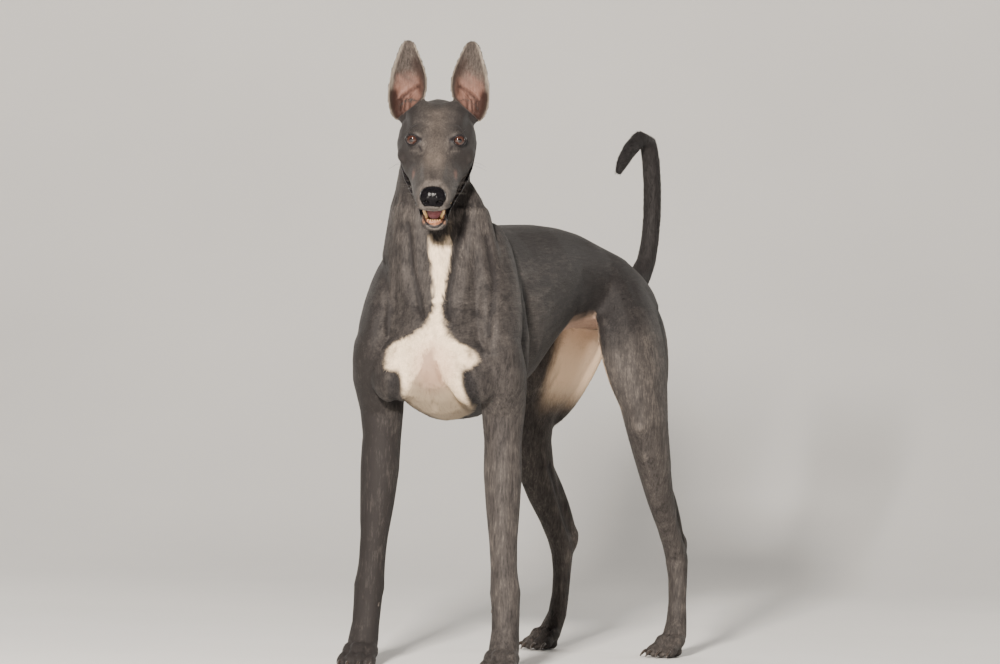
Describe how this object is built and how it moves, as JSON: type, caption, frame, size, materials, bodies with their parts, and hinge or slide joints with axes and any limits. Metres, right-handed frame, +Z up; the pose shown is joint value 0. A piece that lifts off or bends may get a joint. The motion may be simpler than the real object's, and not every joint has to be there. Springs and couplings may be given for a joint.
{
  "type": "greyhound",
  "caption": "Standing greyhound as a life-size still model, with pricked ears, open mouth, deep chest, tucked-up belly and raised hooked tail.",
  "frame": {"origin": "on the floor, under the middle of the box round the whole dog", "axes": "+Z up; the dog stands along Y with its head towards -Y, and its left side is at +X"},
  "size_m": [0.3042, 0.8786, 0.9787],
  "materials": {
    "coat": "short smooth blue-grey coat with white on throat, chest and belly, seen as hair over skin",
    "eye": "glossy amber-brown glass eye",
    "nose": "moist black pebbled skin",
    "tongue": "moist pink"
  },
  "bodies": {
    "root": {"head": "coat", "lower_jaw": "coat", "neck": "coat", "torso": "coat", "tail_base": "coat", "tail_middle": "coat", "tail_tip": "coat", "ear_left": "coat", "ear_right": "coat", "upper_arm_left": "coat", "forearm_left": "coat", "forepaw_left": "coat", "thigh_left": "coat", "lower_leg_left": "coat", "hind_paw_left": "coat", "upper_arm_right": "coat", "forearm_right": "coat", "forepaw_right": "coat", "thigh_right": "coat", "lower_leg_right": "coat", "hind_paw_right": "coat", "eye_left": "eye", "eye_right": "eye", "nose": "nose", "tongue": "tongue"}
  },
  "joints": []
}
